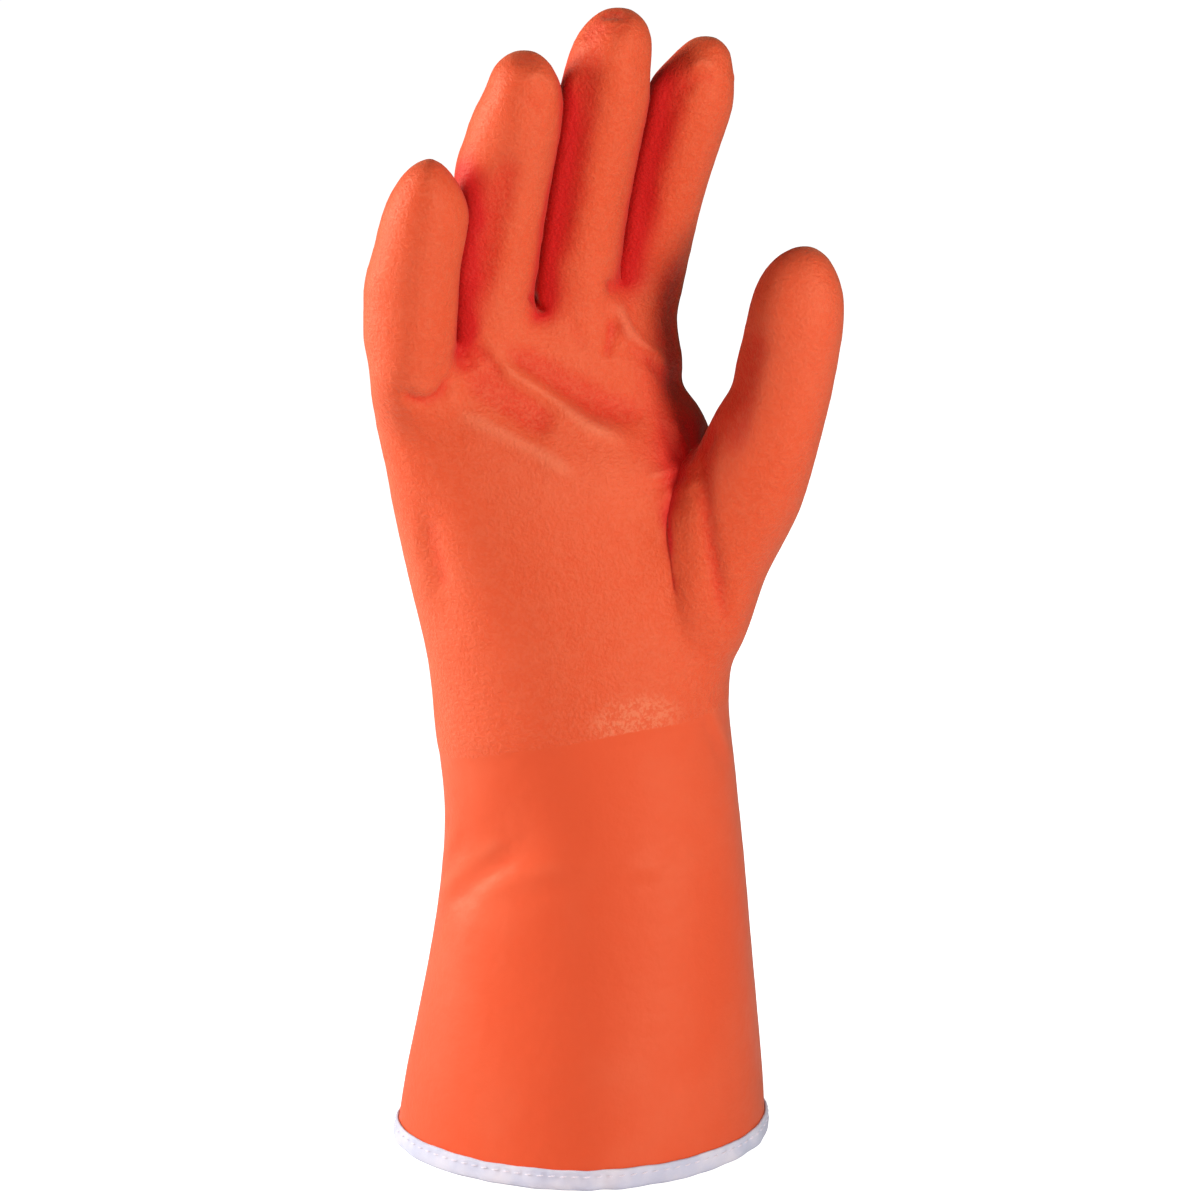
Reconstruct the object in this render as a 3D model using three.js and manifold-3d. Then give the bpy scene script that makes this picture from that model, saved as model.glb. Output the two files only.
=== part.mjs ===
// A right-hand dipped work glove with a flared cuff. It stands on its taped hem, palm to the front.
// Millimetres, +Z up from the hem to the fingertips, -Y the palm side, +X the thumb side.
import * as THREE from 'three';
import { mergeVertices } from 'three/addons/utils/BufferGeometryUtils.js';
import Module from 'manifold-3d';

const wasm = await Module();
wasm.setup();

// Driving sizes of the shell, outside measures in millimetres
const wall = 1.7; // dipped sheet
const gripCoat = 0.4; // second dip, on the hand only
const gripStep = 0.6; // height over which the second dip starts
const gripLineAbove = 19; // start of the second dip, above the wrist

const cuffLength = 97; // hem to the narrowest place
const heelLength = 83; // narrowest place to the widest place of the palm
const knuckleLength = 37; // widest place of the palm to the roots of the fingers
const webRise = 3.5; // height of the webs above the roots

const hemWidth = 97.6;
const hemDepth = 79;
const wristWidth = 75;
const wristDepth = 52;
const palmWidth = 81.5;
const palmDepth = 42;
const knuckleWidth = 79;
const knuckleDepth = 20.5;
const knuckleSlope = 0.28; // rise of the root line per millimetre towards the index finger

const middleLength = 75; // middle finger stall above its root
const fingerWidth = 21.2;
const fingerDepth = 20.6;

const thumbLength = 130; // from inside the heel of the hand to the tip
const thumbWidth = 24.4;
const thumbDepth = 23;

// Sewn tape round the edge of the cuff
const tapeHeight = 5.6;
const tapeThickness = 0.9;
const tapeClearance = 0.3;
const tapeRound = 0.4;

// Fineness of the faceted surfaces
const bodySides = 40;
const cuffRingStep = 9.5;
const handRingStep = 6.2;
const stallSides = 16;
const stallRingStep = 8;
const tipRings = 4;
const webRings = 2;
const mergeWithin = 1e-4;
const tipFullness = 2.2; // 2 is a round tip, more is blunter
const webNarrowest = 0.25; // size of the last ring between the stalls, as a share of the knuckles

const rubberColour = 0xec5f37;
const tapeColour = 0xe9e9f2;

// Sections of the cuff, the heel of the hand and the knuckles.
// at: share of the span's length. width, depth: blend from the size at the span's start to that at its end.
// shift, fore: middle of the section, as shares of the wrist's width. turn: turn seen from above, in degrees.
// full: how square the little finger's side and the thumb's side are (2 is an ellipse).
// tilt: share of the root line's slope.
const cuffRows = [
  { at: 0, width: 0, depth: 0, shift: 0, fore: -0.017, turn: 7.5, full: [1.76, 1.92], tilt: 0 },
  { at: 0.15, width: 0.12, depth: 0.14, shift: 0.008, fore: -0.015, turn: 7, full: [1.8, 2], tilt: 0 },
  { at: 0.31, width: 0.32, depth: 0.34, shift: 0.02, fore: -0.01, turn: 7, full: [1.85, 2], tilt: 0 },
  { at: 0.54, width: 0.6, depth: 0.65, shift: 0.033, fore: -0.005, turn: 7, full: [1.9, 2.05], tilt: 0.1 },
  { at: 0.77, width: 0.83, depth: 0.88, shift: 0.039, fore: 0, turn: 8, full: [1.95, 2.1], tilt: 0.3 },
];
const heelRows = [
  { at: 0, width: 0, depth: 0, shift: 0.031, fore: 0, turn: 9, full: [2, 2.1], tilt: 0.5 },
  { at: 0.23, width: 0.06, depth: 0.08, shift: 0.009, fore: 0.003, turn: 10, full: [2.05, 2.15], tilt: 0.6 },
  { at: 0.52, width: 0.48, depth: 0.32, shift: -0.014, fore: 0.006, turn: 12, full: [2.1, 2.2], tilt: 0.6 },
  { at: 0.76, width: 0.76, depth: 0.62, shift: -0.048, fore: 0.01, turn: 14, full: [2.15, 2.2], tilt: 0.65 },
];
const knuckleRows = [
  { at: 0, width: 0, depth: 0, shift: -0.09, fore: 0.02, turn: 17.5, full: [2.2, 2.2], tilt: 0.75 },
  { at: 0.28, width: 1, depth: 0.27, shift: -0.138, fore: 0.03, turn: 19, full: [2.25, 2.25], tilt: 0.9 },
  { at: 0.6, width: 1, depth: 0.64, shift: -0.172, fore: 0.045, turn: 21, full: [2.4, 2.4], tilt: 1 },
  { at: 1, width: 1, depth: 1, shift: -0.19, fore: 0.055, turn: 22, full: [2.6, 2.6], tilt: 1 },
];

// Finger stalls. place: root along the root line, as a share of the knuckle width from its middle.
// length, width, depth: shares of the middle finger's length, the finger width and the finger depth.
// taper: how much narrower the tip is than the root. tip: length of the round end, as a share of the width.
// ahead: root towards the palm side, spread: tip towards the thumb side, curl: tip towards the palm side,
// as shares of the stall's own length.
const stalls = [
  {
    name: 'index finger',
    place: 0.39, length: 0.813, width: 0.967, depth: 0.98,
    taper: 0, tip: 0.9, ahead: -0.03, spread: 0.27, curl: 0.25,
  },
  {
    name: 'middle finger',
    place: 0.16, length: 1, width: 1, depth: 1,
    taper: 0, tip: 0.8, ahead: 0.02, spread: 0.165, curl: 0.22,
  },
  {
    name: 'ring finger',
    place: -0.108, length: 0.96, width: 1, depth: 1,
    taper: 0, tip: 0.87, ahead: 0.02, spread: 0.15, curl: 0.23,
  },
  {
    name: 'little finger',
    place: -0.366, length: 0.693, width: 1.066, depth: 1.01,
    taper: 0.25, tip: 0.75, ahead: 0.12, spread: 0.19, curl: 0.22,
  },
];
const spreadBend = 0.4; // share of the spread that comes from bending rather than from the slant
const curlBend = 0.65; // the same for the curl

// Sections of a stall. at: share of its length above the root, width and depth: shares of its own.
const stallRows = [
  { at: -0.36, width: 0.4, depth: 0.36 },
  { at: -0.25, width: 0.64, depth: 0.68 },
  { at: -0.1, width: 0.84, depth: 0.9 },
  { at: 0.05, width: 0.96, depth: 0.97 },
  { at: 0.3, width: 0.97, depth: 0.98 },
  { at: 0.55, width: 1.0, depth: 1.0 },
  { at: 0.75, width: 1.03, depth: 0.98 },
  { at: 1.0, width: 1.0, depth: 0.9 },
];

// Sections of the thumb. at: share of its length. across, ahead: middle of the section from the wrist's
// middle line, as shares of its length. width, depth: shares of its own.
const thumbRows = [
  { at: 0.0, across: 0.15, ahead: -0.02, width: 0.7, depth: 0.7 },
  { at: 0.19, across: 0.206, ahead: 0.0, width: 1.1, depth: 1.3 },
  { at: 0.36, across: 0.26, ahead: 0.03, width: 1.23, depth: 1.45 },
  { at: 0.45, across: 0.296, ahead: 0.06, width: 1.25, depth: 1.42 },
  { at: 0.61, across: 0.348, ahead: 0.115, width: 1.1, depth: 1.24 },
  { at: 0.78, across: 0.393, ahead: 0.16, width: 0.98, depth: 1.04 },
  { at: 1.0, across: 0.42, ahead: 0.215, width: 0.94, depth: 0.94 },
];
const thumbRoot = 0.18; // height of the thumb's start, as a share of the heel's length
const thumbTip = 0.75; // length of its round end, as a share of its width

// Folds and hollows of the palm side. x, z: the two ends, as shares of the wrist's width from the middle
// line and of the hand's height above the hem. reach: half width, rise: out of the palm (+) or into it (-),
// as shares of the palm's depth.
const folds = [
  { name: 'under the middle fingers', x: [-0.12, 0.25], z: [0.955, 0.91], reach: 0.24, rise: -0.05 },
  { name: 'long ridge of the palm', x: [-0.33, 0.12], z: [0.97, 0.845], reach: 0.16, rise: 0.035 },
  { name: 'short ridge below it', x: [-0.43, -0.05], z: [0.92, 0.82], reach: 0.14, rise: 0.02 },
  { name: 'under the little finger', x: [-0.6, -0.44], z: [0.945, 0.925], reach: 0.12, rise: -0.04 },
  { name: 'valley beside the thumb', x: [0.34, 0.46], z: [0.86, 0.66], reach: 0.16, rise: -0.05 },
  { name: 'dent of the outer edge', x: [-0.53, -0.47], z: [0.79, 0.69], reach: 0.16, rise: -0.04 },
  { name: 'fold of the cuff', x: [-0.46, -0.23], z: [0.33, 0.405], reach: 0.18, rise: -0.05 },
];
const foldFade = 1.5; // how fast a fold dies away beyond its reach
const palmSideFrom = 0.05; // where round the section the folds start, as the sine of the angle
const palmSideFull = 0.5; // where they have their full depth

const handHeight = cuffLength + heelLength + knuckleLength;
const spans = [
  {
    start: 0,
    length: cuffLength,
    width: [hemWidth, wristWidth],
    depth: [hemDepth, wristDepth],
    rows: cuffRows,
  },
  {
    start: cuffLength,
    length: heelLength,
    width: [wristWidth, palmWidth],
    depth: [wristDepth, palmDepth],
    rows: heelRows,
  },
  {
    start: cuffLength + heelLength,
    length: knuckleLength,
    width: [palmWidth, knuckleWidth],
    depth: [palmDepth, knuckleDepth],
    rows: knuckleRows,
  },
];

function mix(pair, share) {
  return pair[0] + (pair[1] - pair[0]) * share;
}

// A smooth curve through the rows of a table, for each of its columns
function smoothTable(rows, key) {
  const columns = Object.keys(rows[0]).filter((name) => typeof rows[0][name] === 'number');
  return (place) => {
    let next = rows.findIndex((row) => row[key] >= place);
    if (next < 0) next = rows.length - 1;
    next = Math.max(next, 1);
    const a = rows[next - 1];
    const b = rows[next];
    const before = rows[Math.max(next - 2, 0)];
    const after = rows[Math.min(next + 1, rows.length - 1)];
    const span = b[key] - a[key];
    const t = THREE.MathUtils.clamp((place - a[key]) / span, 0, 1);
    const row = {};
    for (const name of columns) {
      const slope = (from, to) => ((to[name] - from[name]) / (to[key] - from[key])) * span;
      const slopeA = slope(before, b);
      const slopeB = slope(a, after);
      const t2 = t * t;
      const t3 = t2 * t;
      row[name] = (2 * t3 - 3 * t2 + 1) * a[name] + (t3 - 2 * t2 + t) * slopeA;
      row[name] += (3 * t2 - 2 * t3) * b[name] + (t3 - t2) * slopeB;
    }
    row[key] = place;
    return row;
  };
}

const bodyAt = smoothTable(
  spans.flatMap((span) =>
    span.rows.map((row) => ({
      height: span.start + span.length * row.at,
      halfWidth: mix(span.width, row.width) / 2,
      halfDepth: mix(span.depth, row.depth) / 2,
      x: row.shift * wristWidth,
      y: -row.fore * wristWidth,
      twist: THREE.MathUtils.degToRad(row.turn),
      left: row.full[0],
      right: row.full[1],
      slope: row.tilt * knuckleSlope,
    })),
  ),
  'height',
);

function power(value, exponent) {
  return Math.sign(value) * Math.abs(value) ** exponent;
}

function foldRise(x, z) {
  let rise = 0;
  for (const fold of folds) {
    const start = new THREE.Vector2(fold.x[0] * wristWidth, fold.z[0] * handHeight);
    const along = new THREE.Vector2(fold.x[1] * wristWidth, fold.z[1] * handHeight).sub(start);
    const point = new THREE.Vector2(x, z).sub(start);
    const share = THREE.MathUtils.clamp(point.dot(along) / along.lengthSq(), 0, 1);
    const away = point.sub(along.multiplyScalar(share)).length() / (fold.reach * palmDepth);
    rise += fold.rise * palmDepth * Math.exp(-away * away * foldFade);
  }
  return rise;
}

// One ring of the hand and cuff. offset: outwards from the plain outside, lift: height added to the whole
// ring, shrink: scale of a ring that closes the top.
function bodyRing(height, offset, lift = 0, shrink = 1) {
  const row = bodyAt(height);
  const ring = [];
  for (let side = 0; side < bodySides; side += 1) {
    const angle = (2 * Math.PI * side) / bodySides;
    const exponent = 2 / (Math.cos(angle) < 0 ? row.left : row.right);
    const across = (row.halfWidth + offset) * power(Math.cos(angle), exponent) * shrink;
    const back = (row.halfDepth + offset) * power(Math.sin(angle), exponent) * shrink;
    const x = row.x + across * Math.cos(row.twist) - back * Math.sin(row.twist);
    const y = row.y + across * Math.sin(row.twist) + back * Math.cos(row.twist);
    const z = height + lift + row.slope * (x - row.x);
    const palmSide = THREE.MathUtils.smoothstep(-Math.sin(angle), palmSideFrom, palmSideFull);
    ring.push(new THREE.Vector3(x, y - foldRise(x, z) * palmSide * shrink, z));
  }
  return ring;
}

// A closed skin over rings of equal size, from the first ring to the last, with a point over each end
function skin(rings, firstPoint, lastPoint) {
  const positions = [];
  const add = (...points) => points.forEach((point) => positions.push(point.x, point.y, point.z));
  const sides = rings[0].length;
  for (let side = 0; side < sides; side += 1) {
    const next = (side + 1) % sides;
    add(firstPoint, rings[0][next], rings[0][side]);
    add(lastPoint, rings.at(-1)[side], rings.at(-1)[next]);
    for (let level = 1; level < rings.length; level += 1) {
      const below = rings[level - 1];
      const above = rings[level];
      add(below[side], below[next], above[next]);
      add(below[side], above[next], above[side]);
    }
  }
  const geometry = new THREE.BufferGeometry();
  geometry.setAttribute('position', new THREE.Float32BufferAttribute(positions, 3));
  return geometry;
}

function middle(ring) {
  const sum = ring.reduce((total, point) => total.add(point), new THREE.Vector3());
  return sum.divideScalar(ring.length);
}

function solid(geometry) {
  const merged = mergeVertices(geometry, mergeWithin);
  const mesh = new wasm.Mesh({
    numProp: 3,
    vertProperties: new Float32Array(merged.attributes.position.array),
    triVerts: new Uint32Array(merged.index.array),
  });
  return new wasm.Manifold(mesh);
}

function geometryOf(manifold) {
  const { vertProperties, triVerts } = manifold.getMesh();
  const geometry = new THREE.BufferGeometry();
  geometry.setAttribute('position', new THREE.BufferAttribute(new Float32Array(vertProperties), 3));
  geometry.setIndex(new THREE.BufferAttribute(new Uint32Array(triVerts), 1));
  return geometry;
}

function levels(from, to, step) {
  const count = Math.max(1, Math.round((to - from) / step));
  return Array.from({ length: count + 1 }, (_, index) => from + ((to - from) * index) / count);
}

// Closing rings of a rounded end: how far along it and how wide, from its start to near its tip
function roundEnd(count) {
  return Array.from({ length: count }, (_, index) => {
    const angle = ((index + 1) / (count + 1)) * (Math.PI / 2);
    const along = Math.sin(angle);
    return { along, scale: (1 - along ** tipFullness) ** (1 / tipFullness) };
  });
}

// The hand and cuff without the stalls, outside (inset 0) or inside (inset: the wall)
function bodySolid(inset, bottom) {
  const gripLine = cuffLength + gripLineAbove;
  const coat = inset > 0 ? 0 : gripCoat;
  const rings = [];
  for (const height of levels(0, gripLine, cuffRingStep)) {
    const start = height === 0 ? bottom : 0;
    rings.push(bodyRing(height, -inset, start));
  }
  for (const height of levels(gripLine + gripStep, handHeight, handRingStep)) {
    rings.push(bodyRing(height, coat - inset));
  }
  const closing = webRise - inset;
  for (const { along, scale } of roundEnd(webRings)) {
    const shrink = THREE.MathUtils.lerp(webNarrowest, 1, scale);
    rings.push(bodyRing(handHeight, coat - inset, closing * along, shrink));
  }
  const top = middle(bodyRing(handHeight, 0, closing));
  return solid(skin(rings, middle(rings[0]), top));
}

// A tube through sections: each has its middle, its two half sizes and the turn seen from above
function tubeSolid({ sections, tip }) {
  const rings = sections.map((section, index) => {
    const before = sections[Math.max(index - 1, 0)].centre;
    const after = index < sections.length - 1 ? sections[index + 1].centre : tip;
    const along = after.clone().sub(before).normalize();
    const turned = new THREE.Vector3(Math.cos(section.twist), Math.sin(section.twist), 0);
    const back = new THREE.Vector3().crossVectors(along, turned).normalize();
    const across = new THREE.Vector3().crossVectors(back, along).normalize();
    const ring = [];
    for (let side = 0; side < stallSides; side += 1) {
      const angle = (2 * Math.PI * side) / stallSides;
      const point = section.centre.clone();
      point.addScaledVector(across, section.halfWidth * Math.cos(angle));
      point.addScaledVector(back, section.halfDepth * Math.sin(angle));
      ring.push(point);
    }
    return ring;
  });
  return solid(skin(rings, sections[0].centre, tip));
}

// Sections of one stall: the table's rows up to where the end starts to round, then the round end
function stallSections(tableAt, start, { length, width, depth, taper, tip }, centreAt, twist, inset) {
  const end = length - inset;
  const round = tip * width;
  const sections = [];
  const push = (distance, scale) => {
    const share = distance / length;
    const row = tableAt(share);
    const narrowing = 1 + taper * (0.5 - Math.max(share, 0));
    sections.push({
      centre: centreAt(distance),
      halfWidth: ((width / 2) * row.width * narrowing - inset) * scale,
      halfDepth: ((depth / 2) * row.depth * narrowing - inset) * scale,
      twist,
    });
  };
  for (const distance of levels(start + inset, end - round, stallRingStep)) push(distance, 1);
  for (const { along, scale } of roundEnd(tipRings)) push(end - round + round * along, scale);
  return { sections, tip: centreAt(end) };
}

const stallAt = smoothTable(stallRows, 'at');
const thumbAt = smoothTable(thumbRows, 'at');

function fingerSolid(stall, inset) {
  const row = bodyAt(handHeight);
  const finger = {
    length: stall.length * middleLength,
    width: stall.width * fingerWidth,
    depth: stall.depth * fingerDepth,
    taper: stall.taper,
    tip: stall.tip,
  };
  const along = stall.place * knuckleWidth;
  const root = new THREE.Vector3(
    row.x + along,
    row.y + along * Math.tan(row.twist),
    handHeight + webRise + knuckleSlope * along,
  );
  const start = stallRows[0].at * finger.length;
  const centreAt = (distance) => {
    const share = Math.max(distance / finger.length, 0);
    const bend = share * share;
    const ahead = stall.ahead * finger.length * THREE.MathUtils.smoothstep(distance, start, 0);
    return new THREE.Vector3(
      root.x + finger.length * stall.spread * THREE.MathUtils.lerp(share, bend, spreadBend),
      root.y - ahead - finger.length * stall.curl * THREE.MathUtils.lerp(share, bend, curlBend),
      root.z + distance,
    );
  };
  const outer = inset > 0 ? inset : -gripCoat;
  return tubeSolid(stallSections(stallAt, start, finger, centreAt, row.twist, outer));
}

function thumbSolid(inset) {
  const base = cuffLength + thumbRoot * heelLength;
  const centreAt = (distance) => {
    const row = thumbAt(distance / thumbLength);
    return new THREE.Vector3(row.across * thumbLength, -row.ahead * thumbLength, base + distance);
  };
  const outer = inset > 0 ? inset : -gripCoat;
  const twist = bodyAt(cuffLength + heelLength).twist;
  const thumb = { length: thumbLength, width: thumbWidth, depth: thumbDepth, taper: 0, tip: thumbTip };
  return tubeSolid(stallSections(thumbAt, 0, thumb, centreAt, twist, outer));
}

function hand(inset, bottom) {
  return [...stalls.map((stall) => fingerSolid(stall, inset)), thumbSolid(inset)].reduce(
    (sum, stall) => sum.add(stall),
    bodySolid(inset, bottom),
  );
}

function gloveShell() {
  const edge = tapeThickness + tapeClearance;
  return geometryOf(hand(0, edge).subtract(hand(wall, -edge)));
}

// The tape: one closed loop of a folded section that follows the edge of the cuff
function hemBinding() {
  const outer = tapeClearance + tapeThickness;
  const inner = -wall - tapeClearance;
  const section = [
    { offset: outer, height: tapeRound },
    { offset: outer, height: tapeHeight - tapeRound },
    { offset: outer - tapeRound, height: tapeHeight },
    { offset: tapeClearance, height: tapeHeight },
    { offset: tapeClearance, height: tapeThickness },
    { offset: inner, height: tapeThickness },
    { offset: inner, height: tapeHeight },
    { offset: inner - tapeThickness + tapeRound, height: tapeHeight },
    { offset: inner - tapeThickness, height: tapeHeight - tapeRound },
    { offset: inner - tapeThickness, height: tapeRound },
    { offset: inner - tapeThickness + tapeRound, height: 0 },
    { offset: outer - tapeRound, height: 0 },
  ];
  const loops = section.map(({ offset, height }) => bodyRing(height, offset));
  const positions = [];
  const add = (...points) => points.forEach((point) => positions.push(point.x, point.y, point.z));
  loops.forEach((loop, index) => {
    const above = loops[(index + 1) % loops.length];
    for (let side = 0; side < bodySides; side += 1) {
      const next = (side + 1) % bodySides;
      add(loop[side], loop[next], above[next]);
      add(loop[side], above[next], above[side]);
    }
  });
  const geometry = new THREE.BufferGeometry();
  geometry.setAttribute('position', new THREE.Float32BufferAttribute(positions, 3));
  return geometry;
}

const rubber = new THREE.MeshStandardMaterial({ color: rubberColour, roughness: 0.55, metalness: 0 });
const tapeCloth = new THREE.MeshStandardMaterial({ color: tapeColour, roughness: 0.85, metalness: 0 });

function piece(name, geometry, material) {
  const mesh = new THREE.Mesh(geometry, material);
  mesh.name = name;
  return mesh;
}

const glove = new THREE.Group();
glove.add(piece('glove_shell', gloveShell(), rubber), piece('hem_binding', hemBinding(), tapeCloth));

// The origin is the middle of the underside of the whole glove's box
const box = new THREE.Box3().setFromObject(glove);
const centre = box.getCenter(new THREE.Vector3());
for (const mesh of glove.children) mesh.position.set(-centre.x, -centre.y, -box.min.z);

export default glove;
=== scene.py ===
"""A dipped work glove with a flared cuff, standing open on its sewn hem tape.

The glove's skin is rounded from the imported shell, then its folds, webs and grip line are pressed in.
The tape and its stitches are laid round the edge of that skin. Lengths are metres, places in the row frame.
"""

import math
from collections import namedtuple

import bmesh
import bpy
import numpy as np
from bpy.props import FloatProperty, FloatVectorProperty, IntProperty, PointerProperty
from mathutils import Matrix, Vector
from mathutils.bvhtree import BVHTree


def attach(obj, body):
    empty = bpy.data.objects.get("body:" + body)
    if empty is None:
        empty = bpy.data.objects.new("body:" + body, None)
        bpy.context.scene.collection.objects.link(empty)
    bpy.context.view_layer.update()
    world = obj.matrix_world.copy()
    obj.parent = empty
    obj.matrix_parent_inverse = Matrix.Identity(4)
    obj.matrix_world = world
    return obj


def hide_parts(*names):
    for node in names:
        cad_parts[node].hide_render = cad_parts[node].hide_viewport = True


bl_info = {
    "name": "Dipped work glove",
    "version": (1, 0, 0),
    "blender": (4, 5, 0),
    "location": "3D View > Sidebar > Glove",
    "description": "Dresses the packed glove with its vinyl skin, hem tape, stitches and studio",
    "category": "Object",
}

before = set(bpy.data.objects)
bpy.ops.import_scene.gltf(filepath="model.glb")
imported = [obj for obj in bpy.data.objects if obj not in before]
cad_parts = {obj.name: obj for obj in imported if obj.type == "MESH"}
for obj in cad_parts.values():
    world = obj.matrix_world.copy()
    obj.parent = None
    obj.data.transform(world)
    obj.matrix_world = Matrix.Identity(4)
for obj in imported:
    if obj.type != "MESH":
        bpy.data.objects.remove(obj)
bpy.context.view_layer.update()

MM = 0.001
FULL_TURN = 2 * math.pi

# The picture: its side in pixels, and the place, aim and angle of view it was taken with
IMAGE_SIZE = 1200
CAMERA_PLACE = Vector((0.00008, -1.05607, 0.45845))
CAMERA_TARGET = Vector((0.00008, -0.00137, 0.14603))
CAMERA_ANGLE = math.radians(15.783)

# A fold of the palm side. name: where it is. reach: half width in mm. rise: mm out of the skin, or into it
# where negative. path: its course, as points of the picture in pixels. lap: share of a second, opposite fold
# on the path's right side.
# A fold's rise also paints shade into its valley and highlight onto its ridge, through the fold kept on the
# skin
Fold = namedtuple("Fold", "name reach rise path lap", defaults=(0.0,))

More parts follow.
